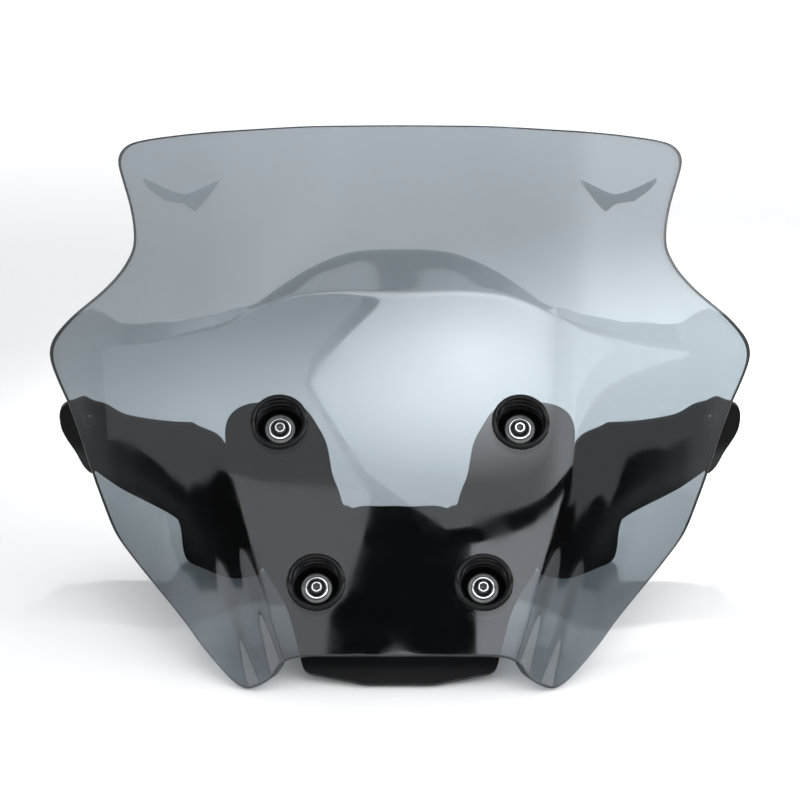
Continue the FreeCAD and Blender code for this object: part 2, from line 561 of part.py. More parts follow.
# the pad stops at the back face of the leg
below = bspline_sheet(wt).toShape().extrude(V(0, 80, 0))
foot = foot.common(below)
webs = []
for x in (93.0, 117.0):
    w3 = Part.Face(Part.makePolygon([V(x, Y0 + 132, 3), V(x, Y0 + 161, 3), V(x, Y0 + 142, 30), V(x, Y0 + 132, 30),
                                     V(x, Y0 + 132, 3)])).extrude(V(3, 0, 0))
    webs.append(w3.common(below))
bossr = cyl(6.5, V(TIP_HOLE[0], Y0 + 120, TIP_HOLE[1]), V(TIP_HOLE[0], Y0 + wing_y(*TIP_HOLE) + WING_T + 3.0, TIP_HOLE[1])).common(below)
wing = fuse([wing, foot, bossr] + webs)
wing = wing.cut(box(-300, 300, -400, 400, -80, 0))
wing = wing.cut(cyl(MOUNT_HOLE_R, V(FOOT_X, Y0 + FOOT_Y, -5), V(FOOT_X, Y0 + FOOT_Y, 12)))
for x, z in WING_SCREWS:
    if x > 0:
        wing = wing.cut(cyl(3.3, V(x, Y0 + 130, z), V(x, Y0 + 160, z)))
TY = wing_y(*TIP_HOLE)
wing = wing.cut(cyl(4.6, V(TIP_HOLE[0], Y0 + 120, TIP_HOLE[1]), V(TIP_HOLE[0], Y0 + 200, TIP_HOLE[1])))
put("side_wing_right", wing)
put("side_wing_left", mirror_x(wing))
tg = []
for sx in (-1, 1):
    c = V(sx * TIP_HOLE[0], Y0 + TY, TIP_HOLE[1])
    tg.append(revolve([(3.1, -2.4), (4.6, -2.4), (4.6, WING_T + 3.0), (6.6, WING_T + 3.0), (6.6, WING_T + 4.6), (3.1, WING_T + 4.6)],
                      c, V(0, 1, 0)))
put("tip_grommets", tg)
ws, wn = [], []
for x, z in WING_SCREWS:
    c = V(x, Y0 + WING_Y + WING_T, z)
    s = revolve([(0, 3.3), (3.0, 3.3), ((4.7, 2.4), (5.25, 1.2)), (6.5, 1.2), (6.8, 0.9), (6.8, 0.0), (3.0, 0.0), (3.0, -15.6),
                 (2.5, -16.0), (0, -16.0)], c, V(0, 1, 0))
    s = s.cut(hexagon(4.0, c + V(0, 3.4, 0), V(0, -1, 0), 2.3))
    ws.append(s)
    nut = hexagon(10.0, V(x, Y0 + FLANGE_Y, z), V(0, -1, 0), 5.0)
    fl = cyl(7.0, V(x, Y0 + FLANGE_Y, z), V(x, Y0 + FLANGE_Y - 1.3, z))
    wn.append(nut.fuse(fl).removeSplitter().cut(cyl(3.0, V(x, Y0 + FLANGE_Y - 9, z), V(x, Y0 + FLANGE_Y + 2, z))))
put("wing_screws", ws)
put("wing_nuts", wn)

# ---- write one file per node -----------------------------------------------
os.makedirs("parts", exist_ok=True)
bb = FreeCAD.BoundBox()
for name, s in NODES.items():
    s.exportStep("parts/%s.step" % name)
    bb.add(s.BoundBox)
    b = s.BoundBox
    print("%-20s solids %d valid %s vol %9.1f  x %.1f..%.1f y %.1f..%.1f z %.2f..%.2f" % (
        name, len(s.Solids), s.isValid(), s.Volume, b.XMin, b.XMax, b.YMin, b.YMax, b.ZMin, b.ZMax))
print("box x %.2f..%.2f y %.2f..%.2f z %.2f..%.2f" % (bb.XMin, bb.XMax, bb.YMin, bb.YMax, bb.ZMin, bb.ZMax))
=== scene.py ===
import bpy
import math
import numpy as np
from mathutils import Vector, Matrix, geometry


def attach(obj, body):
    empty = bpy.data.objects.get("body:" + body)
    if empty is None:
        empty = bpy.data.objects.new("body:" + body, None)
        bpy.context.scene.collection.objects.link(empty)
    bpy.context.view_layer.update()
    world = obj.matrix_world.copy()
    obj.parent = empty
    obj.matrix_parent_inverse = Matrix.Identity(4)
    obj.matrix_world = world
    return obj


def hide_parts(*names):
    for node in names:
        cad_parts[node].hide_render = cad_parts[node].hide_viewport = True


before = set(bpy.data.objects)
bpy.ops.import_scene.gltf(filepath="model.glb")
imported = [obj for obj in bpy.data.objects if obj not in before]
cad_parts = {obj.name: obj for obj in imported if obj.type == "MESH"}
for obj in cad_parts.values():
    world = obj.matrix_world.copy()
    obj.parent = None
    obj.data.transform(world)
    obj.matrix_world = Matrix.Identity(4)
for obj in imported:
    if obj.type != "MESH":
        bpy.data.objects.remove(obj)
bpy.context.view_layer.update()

MM = 0.001
PY, PZ = -121.847, 20.0                       # the leaned frame's origin (Y, Z), mm
LEAN = math.radians(48.0)
WV = np.array([0.0, math.sin(LEAN), math.cos(LEAN)])
NV = np.array([0.0, -math.cos(LEAN), math.sin(LEAN)])
ORG = np.array([0.0, PY, PZ])
T_SHEET = 4.0


# ---------------------------------------------------------------------------
# shape functions, in millimetres, shared with the CAD part
# ---------------------------------------------------------------------------
def sst(t):
    t = np.clip(t, 0.0, 1.0)
    return t * t * t * (t * (6 * t - 15) + 10)


def softplus(x, k):
    return k * np.logaddexp(0.0, np.asarray(x, float) / k)


# lower and upper edges of the small gull-wing facet pressed under each top corner, (|X|, W)
GULL_LOW = [(106.3, 293.5), (115.7, 281.5), (121.6, 275.4), (128.5, 281.2), (133.9, 282.4), (140.0, 284.4), (149.4, 292.6), (154.8, 300.8)]
GULL_TOP = [(106.3, 293.5), (115.8, 290.2), (124.8, 286.9), (128.0, 286.3), (134.0, 288.4), (143.3, 293.3), (149.5, 297.4), (154.8, 300.8)]
GULL_TILT = math.tan(math.radians(6.2))


def gull(a, W):
    lo = np.interp(a, [p[0] for p in GULL_LOW], [p[1] for p in GULL_LOW])
    up = np.interp(a, [p[0] for p in GULL_TOP], [p[1] for p in GULL_TOP])
    width = np.maximum(up - lo, 0.0)
    rise = GULL_TILT * (softplus(W - lo, 0.35) - softplus(W - lo - width, 0.35))
    fade = 1.0 - sst((W - up) / 26.0)
    inside = (a > 106.3) & (a < 154.8)
    return np.where(inside, rise * fade, 0.0)


CREASE_LO = ((0.0, 226.0), (30.0, 227.5), (60.0, 226.0), (80.0, 219.0), (95.0, 209.5), (111.0, 202.5), (151.0, 199.5), (183.0, 204.5), (230.0, 212.0))
CREASE_UP = ((0.0, 258.0), (30.0, 256.5), (50.0, 249.5), (68.0, 236.5), (84.0, 223.5), (98.0, 215.5), (136.0, 213.5), (192.0, 223.0), (230.0, 230.0))


def crease_raw(a, tab):
    out = np.full(a.shape, tab[-1][1])
    for (x0, y0), (x1, y1) in reversed(list(zip(tab[:-1], tab[1:]))):
        t = np.clip((a - x0) / (x1 - x0), 0, 1)
        out = np.where(a <= x1, y0 + (y1 - y0) * t * t * (3 - 2 * t), out)
    return out


_GRID = np.arange(-40.0, 270.5, 0.5)
_BELL = np.exp(-0.5 * (np.arange(-60, 61) * 0.5 / 8.0) ** 2)
_BELL /= _BELL.sum()


def crease_lut(tab):
    y = crease_raw(np.abs(_GRID), tab)
    return np.convolve(np.pad(y, 60, mode="edge"), _BELL, mode="valid")


LUT = {CREASE_LO: crease_lut(CREASE_LO), CREASE_UP: crease_lut(CREASE_UP)}


def crease_at(a, tab):
    return np.interp(a, _GRID, LUT[tab])


def screen_d(X, W, fine=True):
    X, W = np.asarray(X, float), np.asarray(W, float)
    a = np.abs(X)
    side = -softplus(a - 84.0, 7.0) ** 2 / (2 * 165.0)
    b = sst((a - 34) / 78.0)
    w0, w1 = crease_at(a, CREASE_LO), crease_at(a, CREASE_UP)
    t0 = math.tan(math.radians(4.7))
    lip = t0 * softplus(W - w0, 0.9) + (np.tan(np.radians(15.0 - 4.0 * b)) - t0) * softplus(W - w1, 5.0)
    h = np.where(W < 140, 16.0 * sst((140.0 - W) / 150.0 * 0.9 + 0.05), 0.0)
    xc = 64.0 + W * 0.300
    s = 0.62 * sst((a - xc) / 11.0) + 0.38 * sst((a - xc - 15) / 11.0)
    d = side + lip - h * s
    if fine:
        d = d - gull(a, W)
    return d


FOLD_SHADE = 0.06


def screen_n(X, W, shade=False):
    """Unit normal in the leaned frame; with shade=True the flank keeps the tilt of the panel above it."""
    X, W = np.asarray(X, float), np.asarray(W, float)
    e = 0.25
    gx = (screen_d(X + e, W, not shade) - screen_d(X - e, W, not shade)) / (2 * e)
    gw = (screen_d(X, W + e, not shade) - screen_d(X, W - e, not shade)) / (2 * e)
    if shade:
        a = np.abs(X)
        xc = 64.0 + W * 0.300
        s = 0.62 * sst((a - xc) / 11.0) + 0.38 * sst((a - xc - 15) / 11.0)

        def h(w):
            return np.where(w < 140, 16.0 * sst((140.0 - w) / 150.0 * 0.9 + 0.05), 0.0)
        gw = gw + (h(W + e) - h(W - e)) / (2 * e) * s
        side = -softplus(a - 84.0, 7.0) / 165.0 * np.sign(X) / (1 + np.exp(-np.clip((a - 84.0) / 7.0, -60, 60)))
        gx = np.where(W < 136, side + (gx - side) * FOLD_SHADE, gx)
        gw = np.where(W < 136, gw * FOLD_SHADE, gw)
        lo = np.interp(a, [p[0] for p in GULL_LOW], [p[1] for p in GULL_LOW])
        up = np.interp(a, [p[0] for p in GULL_TOP], [p[1] for p in GULL_TOP])
        facet = np.clip((W - lo) / 0.6 + 0.5, 0, 1) * np.clip((up - W) / 0.6 + 0.5, 0, 1) * (a > 106.3) * (a < 154.8)
        gw = gw - GULL_TILT * facet
    n = np.stack([-gx, -gw, np.ones_like(gx)], 1)
    return n / np.linalg.norm(n, axis=1, keepdims=True)


def world_of(xwd):
    xwd = np.asarray(xwd, float)
    return (ORG + xwd[..., :1] * np.array([1.0, 0, 0]) + xwd[..., 1:2] * WV + xwd[..., 2:3] * NV) * MM


SCREEN_HALF = [
    (0.0, 326.5), (29.8, 326.2), (59.6, 325.0), (89.3, 323.6), (119.3, 322.9), (145.0, 323.3),
    (158.0, 323.6), (164.5, 322.7), (168.4, 320.0), (170.2, 315.8), (169.8, 310.5), (168.3, 305.0),
    (166.3, 298.5), (164.1, 291.5), (162.1, 284.1), (160.5, 276.5), (159.6, 269.6), (159.4, 263.8),
    (160.2, 258.6), (162.4, 253.8), (166.3, 248.3), (171.9, 242.9), (179.8, 237.3), (189.3, 232.2),
    (198.3, 227.4), (205.3, 222.4), (209.8, 217.8), (212.0, 213.2), (212.4, 208.3), (211.0, 201.6),
    (207.6, 192.6), (203.7, 183.6), (199.3, 174.0), (194.6, 162.5), (190.0, 150.4), (185.8, 138.6),
    (181.8, 127.3), (178.2, 117.4), (175.0, 109.2), (172.0, 101.6), (168.9, 94.0), (165.3, 86.4),
    (160.5, 78.8), (154.9, 71.2), (149.1, 63.7), (143.2, 56.3), (137.2, 48.9), (131.2, 41.6),
    (125.4, 34.3), (120.0, 27.1), (114.9, 20.0), (109.4, 12.9), (103.2, 5.6), (97.6, -0.6),
    (93.2, -4.6), (89.0, -7.2), (84.6, -8.4), (79.9, -7.9), (75.2, -5.8), (70.9, -2.2), (66.6, 1.7),
    (62.0, 4.4), (56.6, 5.6), (50.0, 5.8), (28.0, 5.8), (0.0, 5.8)]
CUPS = [(-69.8, 145.4), (69.8, 145.4), (-47.4, 48.8), (47.4, 48.8)]


def closed_spline(pts, step):
    """Periodic cubic spline through pts, resampled at about the given step."""
    p = np.array(pts, float)
    n = len(p)
    h = np.linalg.norm(np.roll(p, -1, 0) - p, axis=1)
    A = np.zeros((n, n))
    rhs = np.zeros((n, 2))
    for i in range(n):
        hm, hp = h[i - 1], h[i]
        A[i, (i - 1) % n] = hm
        A[i, i] = 2 * (hm + hp)
        A[i, (i + 1) % n] = hp
        rhs[i] = 6 * ((p[(i + 1) % n] - p[i]) / hp - (p[i] - p[i - 1]) / hm)
    M = np.linalg.solve(A, rhs)
    dense = []
    for i in range(n):
        j = (i + 1) % n
        for t in np.linspace(0, 1, 24, endpoint=False):
            x = t * h[i]
            a, b = (h[i] - x), x
            dense.append(M[i] * a ** 3 / (6 * h[i]) + M[j] * b ** 3 / (6 * h[i])
                         + (p[i] / h[i] - M[i] * h[i] / 6) * a + (p[j] / h[i] - M[j] * h[i] / 6) * b)
    dense = np.array(dense)
    seg = np.linalg.norm(np.roll(dense, -1, 0) - dense, axis=1)
    cum = np.concatenate([[0], np.cumsum(seg)])
    m = int(round(cum[-1] / step))
    t = np.linspace(0, cum[-1], m, endpoint=False)
    ext = np.vstack([dense, dense[:1]])
    return np.stack([np.interp(t, cum, ext[:, k]) for k in (0, 1)], 1)


def loop_inward(loop, hole=False):
    """Unit vectors pointing from the loop into the material."""
    d = np.roll(loop, -1, 0) - np.roll(loop, 1, 0)
    n = np.stack([-d[:, 1], d[:, 0]], 1)
    n /= np.linalg.norm(n, axis=1, keepdims=True)
    area = 0.5 * np.sum(loop[:, 0] * np.roll(loop[:, 1], -1) - np.roll(loop[:, 0], -1) * loop[:, 1])
    if area < 0:
        n = -n
    return -n if hole else n


def new_mesh(name, verts, faces, mats, face_mat=None, smooth=True, normals=None):
    me = bpy.data.meshes.new(name)
    me.from_pydata([tuple(map(float, v)) for v in verts], [], [tuple(map(int, f)) for f in faces])
    for m in mats:
        me.materials.append(m)
    if face_mat is not None:
        me.polygons.foreach_set("material_index", np.asarray(face_mat, np.int32))
    me.polygons.foreach_set("use_smooth", np.full(len(me.polygons), smooth))
    me.validate()
    me.update()
    if normals is not None:
        me.normals_split_custom_set_from_vertices([tuple(map(float, v)) for v in normals])
    ob = bpy.data.objects.new(name, me)
    bpy.context.scene.collection.objects.link(ob)
    return ob


# ---------------------------------------------------------------------------
# materials
# ---------------------------------------------------------------------------
def mat_new(name):
    m = bpy.data.materials.new(name)
    m.use_nodes = True
    nt = m.node_tree
    for n in list(nt.nodes):
        nt.nodes.remove(n)
    out = nt.nodes.new("ShaderNodeOutputMaterial")
    return m, nt, out


def node(nt, kind, **kw):
    n = nt.nodes.new(kind)
    for k, v in kw.items():
        if k.startswith("_"):
            n.inputs[k[1:].replace("_", " ")].default_value = v
        else:
            setattr(n, k, v)
    return n


def coords(nt, scale=1.0):
    tc = node(nt, "ShaderNodeTexCoord")
    mp = node(nt, "ShaderNodeMapping")
    mp.inputs["Scale"].default_value = (scale, scale, scale) if not isinstance(scale, tuple) else scale
    nt.links.new(tc.outputs["Object"], mp.inputs["Vector"])
    return mp.outputs["Vector"]


def noise(nt, vec, scale, detail=3.0, rough=0.55):
    n = node(nt, "ShaderNodeTexNoise")
    n.inputs["Scale"].default_value = scale
    n.inputs["Detail"].default_value = detail
    n.inputs["Roughness"].default_value = rough
    nt.links.new(vec, n.inputs["Vector"])
    return n


def ramp(nt, fac, lo, hi, p0=0.35, p1=0.65):
    """Map a 0..1 factor onto lo..hi between p0 and p1."""
    m = node(nt, "ShaderNodeMapRange")
    m.inputs["From Min"].default_value = p0
    m.inputs["From Max"].default_value = p1
    m.inputs["To Min"].default_value = lo
    m.inputs["To Max"].default_value = hi
    nt.links.new(fac, m.inputs["Value"])
    return m.outputs["Result"]


def mix_rgb(nt, fac, a, b):
    m = node(nt, "ShaderNodeMix", data_type="RGBA")
    if isinstance(fac, float):
        m.inputs["Factor"].default_value = fac
    else:
        nt.links.new(fac, m.inputs["Factor"])
    for key, c in (("A", a), ("B", b)):
        if isinstance(c, tuple):
            m.inputs[key].default_value = (*c, 1)
        else:
            nt.links.new(c, m.inputs[key])
    return m.outputs["Result"]


def principled(name, base, base2, rough, rough2, grain=0.0, grain_scale=1400.0, wave=0.0, wave_scale=40.0,
               metallic=0.0, spec=0.5, coat=0.0, coat_rough=0.1, var_scale=30.0, pits=0.0, pit_scale=300.0):
    m, nt, out = mat_new(name)
    p = node(nt, "ShaderNodeBsdfPrincipled")
    p.inputs["Metallic"].default_value = metallic
    p.inputs["Specular IOR Level"].default_value = spec
    p.inputs["Coat Weight"].default_value = coat
    p.inputs["Coat Roughness"].default_value = coat_rough
    v = coords(nt)
    big = noise(nt, v, var_scale, 4.0)
    nt.links.new(mix_rgb(nt, ramp(nt, big.outputs["Fac"], 0, 1), base, base2), p.inputs["Base Color"])
    mid = noise(nt, v, var_scale * 6.0, 5.0)
    nt.links.new(ramp(nt, mid.outputs["Fac"], rough, rough2), p.inputs["Roughness"])
    last = None
    if grain:
        g = noise(nt, v, grain_scale, 2.0, 0.5)
        bp = node(nt, "ShaderNodeBump")
        bp.inputs["Strength"].default_value = grain
        bp.inputs["Distance"].default_value = 0.00012
        nt.links.new(g.outputs["Fac"], bp.inputs["Height"])
        last = bp
    if wave:
        g = noise(nt, v, wave_scale, 2.0, 0.4)
        bp = node(nt, "ShaderNodeBump")
        bp.inputs["Strength"].default_value = wave
        bp.inputs["Distance"].default_value = 0.001
        nt.links.new(g.outputs["Fac"], bp.inputs["Height"])
        if last is not None:
            nt.links.new(last.outputs["Normal"], bp.inputs["Normal"])
        last = bp
    if pits:
        g = node(nt, "ShaderNodeTexVoronoi", feature="SMOOTH_F1")
        g.inputs["Scale"].default_value = pit_scale
        nt.links.new(v, g.inputs["Vector"])
        bp = node(nt, "ShaderNodeBump")
        bp.inputs["Strength"].default_value = pits
        bp.inputs["Distance"].default_value = 0.0003
        nt.links.new(g.outputs["Distance"], bp.inputs["Height"])
        if last is not None:
            nt.links.new(last.outputs["Normal"], bp.inputs["Normal"])
        last = bp
    if last is not None:
        nt.links.new(last.outputs["Normal"], p.inputs["Normal"])
    nt.links.new(p.outputs["BSDF"], out.inputs["Surface"])
    return m


def smoke_sheet(name, tint):
    """Tinted clear sheet: light goes straight through, with a Fresnel film of gloss."""
    m, nt, out = mat_new(name)
    v = coords(nt)
    wav = noise(nt, v, 9.0, 2.0, 0.4)
    bp = node(nt, "ShaderNodeBump")
    bp.inputs["Strength"].default_value = 0.018
    bp.inputs["Distance"].default_value = 0.004
    nt.links.new(wav.outputs["Fac"], bp.inputs["Height"])
    lw = node(nt, "ShaderNodeLayerWeight")
    lw.inputs["Blend"].default_value = 0.5
    pw = node(nt, "ShaderNodeMath", operation="POWER")
    pw.inputs[1].default_value = 4.0
    nt.links.new(lw.outputs["Facing"], pw.inputs[0])
    mr = node(nt, "ShaderNodeMapRange")
    mr.inputs["To Min"].default_value = 0.046
    mr.inputs["To Max"].default_value = 0.85
    nt.links.new(pw.outputs[0], mr.inputs["Value"])
    tr = node(nt, "ShaderNodeBsdfTransparent")
    fa = node(nt, "ShaderNodeAttribute")
    fa.attribute_name = "fold"
    tn = noise(nt, v, 14.0, 3.0)
    nt.links.new(mix_rgb(nt, fa.outputs["Fac"], mix_rgb(nt, ramp(nt, tn.outputs["Fac"], 0, 1), tuple(c * 0.992 for c in tint), tuple(min(c * 1.008, 1) for c in tint)),
                         tuple(c * 0.80 for c in tint)), tr.inputs["Color"])
    gl = node(nt, "ShaderNodeBsdfAnisotropic")
    gl.inputs["Color"].default_value = (0.96, 0.98, 1.0, 1)
    haze = noise(nt, v, 60.0, 4.0)
    nt.links.new(ramp(nt, haze.outputs["Fac"], 0.012, 0.045), gl.inputs["Roughness"])
    nt.links.new(bp.outputs["Normal"], gl.inputs["Normal"])
    mx = node(nt, "ShaderNodeMixShader")
    nt.links.new(mr.outputs["Result"], mx.inputs[0])
    nt.links.new(tr.outputs[0], mx.inputs[1])
    nt.links.new(gl.outputs[0], mx.inputs[2])
    nt.links.new(mx.outputs[0], out.inputs["Surface"])
    return m


TINT = (0.470, 0.505, 0.525)
M_SHEET = smoke_sheet("smoke_sheet", TINT)
M_EDGE = principled("smoke_sheet_edge", (0.006, 0.008, 0.009), (0.012, 0.014, 0.016), 0.10, 0.22, grain=0.1, spec=0.25)
M_RUBBER = principled("cup_rubber_soft", (0.0022, 0.0022, 0.0024), (0.0036, 0.0036, 0.004), 0.09, 0.15, grain=0.05, grain_scale=2600, wave=0.02,
                      wave_scale=160, spec=0.20)
M_BLACK = principled("black_plastic_textured", (0.0018, 0.0018, 0.0021), (0.0032, 0.0032, 0.0035), 0.34, 0.46, grain=0.35, grain_scale=2400,
                     wave=0.04, wave_scale=50, spec=0.10)
M_FRAME = principled("frame_plastic_textured", (0.0022, 0.0022, 0.0025), (0.0038, 0.0038, 0.004), 0.40, 0.52, grain=0.5, grain_scale=1900,
                     wave=0.06, wave_scale=60, spec=0.10)
M_WASHER = principled("washer_zinc", (0.085, 0.085, 0.09), (0.13, 0.13, 0.135), 0.34, 0.48, metallic=0.9, grain=0.2, grain_scale=1800, var_scale=200)
M_SCREW = principled("screw_nickel", (0.80, 0.80, 0.81), (0.70, 0.70, 0.72), 0.10, 0.18, metallic=1.0, grain=0.05, grain_scale=2000, var_scale=260)
# painted shade and reflection: a darker metal laid on the screw socket and the groove round the head (painted shade)
# and on a ring of the dome slope (painted dark reflection)
M_SCREW_PAINTED_DARK = principled("screw_painted_dark", (0.05, 0.05, 0.053), (0.09, 0.09, 0.095), 0.20, 0.30, metallic=0.9, grain=0.1, grain_scale=2000, var_scale=300)
M_SLEEVE = principled("sleeve_turned", (0.52, 0.52, 0.53), (0.62, 0.62, 0.63), 0.26, 0.4, metallic=1.0, grain=0.15)
M_BRASS = principled("insert_brass_turned", (0.62, 0.44, 0.17), (0.72, 0.54, 0.24), 0.25, 0.4, metallic=1.0, grain=0.2)
M_ACETAL = principled("shoe_acetal", (0.62, 0.61, 0.57), (0.68, 0.67, 0.63), 0.32, 0.44, grain=0.15, grain_scale=1500)
M_CHROME = principled("rail_hard_chrome", (0.62, 0.62, 0.64), (0.70, 0.70, 0.72), 0.08, 0.18, metallic=1.0, grain=0.05, var_scale=80)
M_OXIDE = principled("screw_black_oxide", (0.035, 0.035, 0.037), (0.055, 0.055, 0.058), 0.28, 0.42, metallic=0.8, grain=0.15)
M_BUFFER = principled("buffer_rubber_matte", (0.014, 0.014, 0.014), (0.022, 0.022, 0.022), 0.6, 0.75, grain=0.5, grain_scale=1600)
M_ALLOY = principled("lever_blasted_alloy", (0.36, 0.37, 0.38), (0.46, 0.47, 0.48), 0.42, 0.56, metallic=0.95, grain=0.5, grain_scale=2400)
M_PAD = principled("pad_friction", (0.07, 0.022, 0.014), (0.11, 0.034, 0.02), 0.7, 0.85, grain=0.8, grain_scale=1300)
M_SPRING = principled("spring_drawn_wire", (0.42, 0.42, 0.43), (0.52, 0.52, 0.53), 0.2, 0.34, metallic=1.0)

CAD_MATS = {
    "spacer_sleeves": M_SLEEVE, "threaded_inserts": M_BRASS, "carrier_plate": M_BLACK, "slide_shoe_left": M_ACETAL,
    "slide_shoe_right": M_ACETAL, "shoe_screws": M_OXIDE, "lever_pin": M_CHROME, "lever_spring": M_SPRING,
    "release_lever": M_ALLOY, "brake_pad": M_PAD, "base_frame": M_FRAME, "guide_rail_left": M_CHROME,
    "guide_rail_right": M_CHROME, "stop_buffers": M_BUFFER, "mount_bushes": M_SLEEVE, "side_wing_left": M_BLACK,
    "side_wing_right": M_BLACK, "tip_grommets": M_BUFFER, "wing_screws": M_OXIDE, "wing_nuts": M_WASHER,
    "grommet_cups": M_RUBBER, "cup_washers": M_WASHER, "screen_screws": M_SCREW, "windscreen": M_SHEET}
for n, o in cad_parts.items():
    m = CAD_MATS[n]
    if not o.material_slots:
        o.data.materials.append(m)
    for s in o.material_slots:
        s.material = m


# ---------------------------------------------------------------------------
# windscreen: one continuous formed sheet with rounded, polished edges
# ---------------------------------------------------------------------------
def build_screen():
    full = list(SCREEN_HALF) + [(-x, w) for x, w in reversed(SCREEN_HALF[1:-1])]
    outer = closed_spline(full, 1.6)
    loops = [(outer, loop_inward(outer))]
    for cx, cw in CUPS:
        k = np.arange(64) * 2 * math.pi / 64
        c = np.stack([cx + 14.9 * np.cos(k), cw + 14.9 * np.sin(k)], 1)
        loops.append((c, loop_inward(c, hole=True)))
    R = 1.1
    inset = [l + n * R for l, n in loops]
    # interior points
    g = 1.8
    xs = np.arange(-212, 212.01, g)
    ws = np.arange(-8, 326, g)
    XX, WW = np.meshgrid(xs, ws)
    P = np.stack([XX.ravel(), WW.ravel()], 1)
    # columns that follow the two flank folds, so the facets run along them
    off = np.abs(P[:, 0]) - (64.0 + 0.3 * P[:, 1])
    P = P[~((P[:, 1] < 141.0) & (off > -7.6) & (off < 35.2))]
    uu, wf = np.meshgrid(np.arange(-7.0, 35.0, 1.0), ws[ws < 141.0])
    xf = 64.0 + 0.3 * wf.ravel() + uu.ravel()
    P = np.concatenate([P, np.stack([xf, wf.ravel()], 1), np.stack([-xf, wf.ravel()], 1)])
    # rows that follow both edges of the gull-wing facets
    aa = np.abs(P[:, 0])
    lo = np.interp(aa, [p[0] for p in GULL_LOW], [p[1] for p in GULL_LOW])
    up = np.interp(aa, [p[0] for p in GULL_TOP], [p[1] for p in GULL_TOP])
    close = (np.abs(P[:, 1] - lo) < 1.2) | (np.abs(P[:, 1] - up) < 1.2)
    P = P[~(close & (aa > 105.4) & (aa < 155.7))]
    ag = np.arange(106.6, 154.6, 0.8)
    lo = np.interp(ag, [p[0] for p in GULL_LOW], [p[1] for p in GULL_LOW])
    up = np.interp(ag, [p[0] for p in GULL_TOP], [p[1] for p in GULL_TOP])
    wide = up - lo > 1.3
    for av, wv in ((ag, lo - 0.4), (ag, up + 0.4), (ag[wide], lo[wide] + 0.4), (ag[wide], up[wide] - 0.4)):
        P = np.concatenate([P, np.stack([av, wv], 1), np.stack([-av, wv], 1)])
    # keep the points inside the outline, clear of every loop
    ring = inset[0]
    inside = np.zeros(len(P), bool)
    xj, yj = ring[:, 0], ring[:, 1]
    xk, yk = np.roll(xj, -1), np.roll(yj, -1)
    for a, b, c, d in zip(xj, yj, xk, yk):
        cond = ((b > P[:, 1]) != (d > P[:, 1]))
        with np.errstate(divide="ignore", invalid="ignore"):
            xi = (c - a) * (P[:, 1] - b) / (d - b) + a
        inside ^= cond & (P[:, 0] < xi)
    keep = inside.copy()
    for L in [ring]:
        for i0 in range(0, len(P), 4000):
            blk = P[i0:i0 + 4000]
            dd = np.min(np.hypot(blk[:, None, 0] - L[None, :, 0], blk[:, None, 1] - L[None, :, 1]), axis=1)
            keep[i0:i0 + 4000] &= dd > 1.4
    for cx, cw in CUPS:
        keep &= np.hypot(P[:, 0] - cx, P[:, 1] - cw) > 14.9 + R + 1.2
    P = P[keep]
    pts2, edges, start = [], [], 0
    spans = []
    for L in inset:
        n = len(L)
        pts2 += [Vector((float(x), float(y))) for x, y in L]
        edges += [(start + i, start + (i + 1) % n) for i in range(n)]
        spans.append((start, n))
        start += n
    nb = start
    pts2 += [Vector((float(x), float(y))) for x, y in P]
    ov, oe, of, orig, _, _ = geometry.delaunay_2d_cdt(pts2, edges, [], 1, 1e-5)
    ov = np.array([(v.x, v.y) for v in ov])
    back = [o[0] if len(o) else -1 for o in orig]
    # drop triangles outside the sheet or inside a hole
    tris = []
    for f in of:
        c = ov[list(f)].mean(0)
        if any(math.hypot(c[0] - cx, c[1] - cw) < 14.9 + R * 0.6 for cx, cw in CUPS):
            continue
        tris.append(tuple(f))
    T = np.array(tris)
    C = ov[T].mean(1)
    ins = np.zeros(len(C), bool)
    for a, b, c, d in zip(xj, yj, xk, yk):
        cond = ((b > C[:, 1]) != (d > C[:, 1]))
        with np.errstate(divide="ignore", invalid="ignore"):
            xi = (c - a) * (C[:, 1] - b) / (d - b) + a
        ins ^= cond & (C[:, 0] < xi)
    T = T[ins]
    # make every triangle face the front
    a, b, c = ov[T[:, 0]], ov[T[:, 1]], ov[T[:, 2]]
    area = (b[:, 0] - a[:, 0]) * (c[:, 1] - a[:, 1]) - (c[:, 0] - a[:, 0]) * (b[:, 1] - a[:, 1])
    T[area < 0] = T[area < 0][:, ::-1]

    def lift(xw, depth):
        X, W = xw[:, 0], xw[:, 1]
        d = screen_d(X, W)
        n = screen_n(X, W)
        return np.stack([X, W, d], 1) - n * depth
    n0 = len(ov)
    verts = [lift(ov, 0.0), lift(ov, T_SHEET)]
    nf = screen_n(ov[:, 0], ov[:, 1], True)
    norms = [nf, -nf]
    faces = [tuple(t) for t in T] + [(n0 + t[2], n0 + t[1], n0 + t[0]) for t in T]
    fm = [0] * len(faces)
    flat_xw = []
    vof = {}
    for i, b0 in enumerate(back):
        if 0 <= b0 < nb:
            vof[b0] = i
    base = 2 * n0
    prof = []
    K = 5
    for k in range(1, K + 1):
        th = math.pi / 2 * k / K
        prof.append((R - R * math.sin(th), R - R * math.cos(th), math.sin(th), math.cos(th)))
    for k in range(0, K):
        th = math.pi / 2 * (1 - k / K)
        prof.append((R - R * math.sin(th), T_SHEET - R + R * math.cos(th), math.sin(th), -math.cos(th)))
    for (L, nrm), (st, n) in zip(loops, spans):
        rows = [[vof[st + i] for i in range(n)]]
        for ins_, dep, so, sn in prof:
            ring_pts = lift(L + nrm * ins_, dep)
            verts.append(ring_pts)
            nn = screen_n((L + nrm * ins_)[:, 0], (L + nrm * ins_)[:, 1], True)
            out3 = np.concatenate([-nrm, np.zeros((len(L), 1))], 1)
            norms.append(nn * sn + out3 * so)
            flat_xw.append(L + nrm * ins_)
            rows.append([base + i for i in range(n)])
            base += n
        rows.append([n0 + vof[st + i] for i in range(n)])
